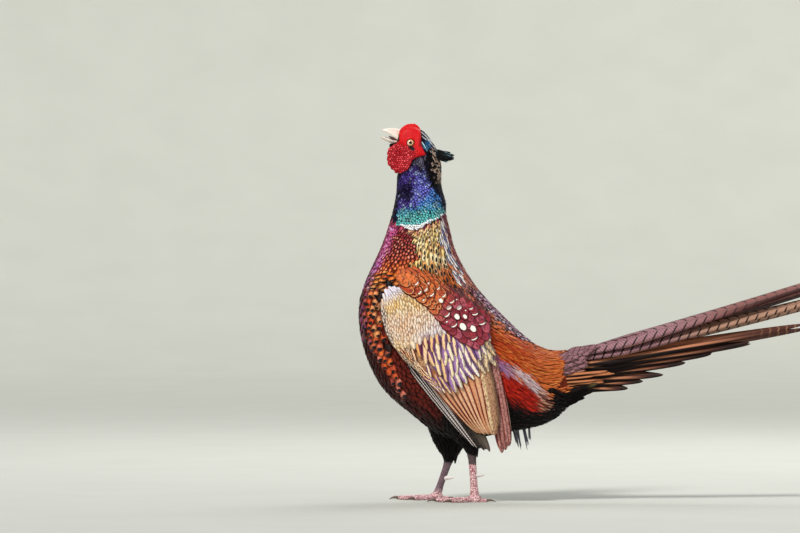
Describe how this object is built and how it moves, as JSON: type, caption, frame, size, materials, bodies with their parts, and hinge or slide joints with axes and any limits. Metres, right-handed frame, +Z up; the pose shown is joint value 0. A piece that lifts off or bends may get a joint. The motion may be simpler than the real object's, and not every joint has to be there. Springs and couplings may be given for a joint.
{
  "type": "common pheasant",
  "caption": "Cock common pheasant standing upright with its bill open, red face, white neck ring, drooped wings and long pointed tail; a still, life-size model.",
  "frame": {"origin": "on the floor, under the middle of the bounding box", "axes": "+Z up, the bird faces -X with its tail towards +X, and its left side faces -Y"},
  "size_m": [0.7076, 0.1353, 0.4713],
  "materials": {
    "breast": "copper, gold and chestnut body plumage with dark edges",
    "neck": "glossy blue-green and violet neck plumage with a white ring",
    "face": "bare red facial skin with fine raised grains",
    "bill": "pale horn",
    "mouth": "moist mouth lining and tongue",
    "eye": "wet eye, pale yellow-orange iris and black pupil",
    "tuft": "dark green-black ear tuft",
    "wing": "buff, cream and maroon wing plumage with dark flight feathers",
    "tail": "mauve-brown barred tail plumage",
    "thigh": "soft black-brown thigh plumage",
    "leg": "pinkish grey scaled skin",
    "claw": "dark horn",
    "spur": "pale horn"
  },
  "bodies": {
    "root": {"torso": "breast", "neck": "neck", "head": "neck", "bill_upper": "bill", "bill_lower": "bill", "tongue": "mouth", "tail": "tail", "face_left": "face", "eye_left": "eye", "ear_tuft_left": "tuft", "wing_left": "wing", "thigh_left": "thigh", "shank_left": "leg", "spur_left": "spur", "claw_inner_left": "claw", "claw_middle_left": "claw", "claw_outer_left": "claw", "claw_hind_left": "claw", "face_right": "face", "eye_right": "eye", "ear_tuft_right": "tuft", "wing_right": "wing", "thigh_right": "thigh", "shank_right": "leg", "spur_right": "spur", "claw_inner_right": "claw", "claw_middle_right": "claw", "claw_outer_right": "claw", "claw_hind_right": "claw"}
  },
  "joints": []
}
